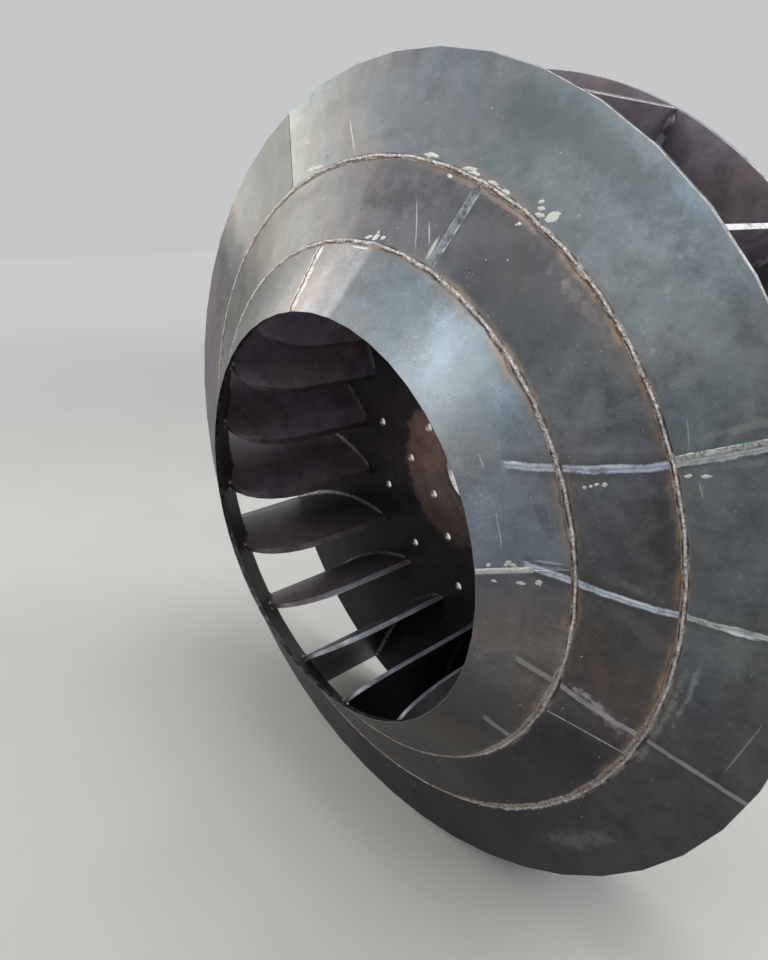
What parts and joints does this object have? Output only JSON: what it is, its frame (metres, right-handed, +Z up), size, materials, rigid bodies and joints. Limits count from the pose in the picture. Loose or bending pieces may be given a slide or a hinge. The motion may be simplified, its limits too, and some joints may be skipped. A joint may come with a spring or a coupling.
{
  "type": "centrifugal fan impeller",
  "caption": "Welded steel impeller of an industrial centrifugal fan: conical shroud with an inlet eye, radial-tip blades and a drilled back plate.",
  "frame": {"origin": "on the floor under the middle of the impeller, which stands on the lowest flats of its two rims", "axes": "the shaft axis runs level along Y with the inlet facing -Y; +X is to the right seen from the inlet; +Z is up"},
  "size_m": [1.5966, 0.46, 1.5966],
  "materials": {
    "shroud_steel": "hot rolled mill scale, satin, unpainted",
    "back_plate_steel": "hot rolled mill scale, dark",
    "blade_steel": "hot rolled mill scale, dark, with ground edges",
    "weld_metal": "as welded, rippled, with heat tint beside it"
  },
  "bodies": {
    "root": {"back_plate": "back_plate_steel", "inlet_cone_plate_1": "shroud_steel", "inlet_cone_plate_2": "shroud_steel", "inlet_cone_plate_3": "shroud_steel", "inlet_cone_plate_4": "shroud_steel", "middle_cone_plate_1": "shroud_steel", "middle_cone_plate_2": "shroud_steel", "middle_cone_plate_3": "shroud_steel", "middle_cone_plate_4": "shroud_steel", "rim_cone_plate_1": "shroud_steel", "rim_cone_plate_2": "shroud_steel", "rim_cone_plate_3": "shroud_steel", "rim_cone_plate_4": "shroud_steel", "inner_seam_weld": "weld_metal", "outer_seam_weld": "weld_metal", "blade_01": "blade_steel", "blade_02": "blade_steel", "blade_03": "blade_steel", "blade_04": "blade_steel", "blade_05": "blade_steel", "blade_06": "blade_steel", "blade_07": "blade_steel", "blade_08": "blade_steel", "blade_09": "blade_steel", "blade_10": "blade_steel", "blade_11": "blade_steel", "blade_12": "blade_steel", "blade_13": "blade_steel", "blade_14": "blade_steel", "blade_15": "blade_steel", "blade_16": "blade_steel", "blade_17": "blade_steel", "blade_18": "blade_steel"}
  },
  "joints": []
}
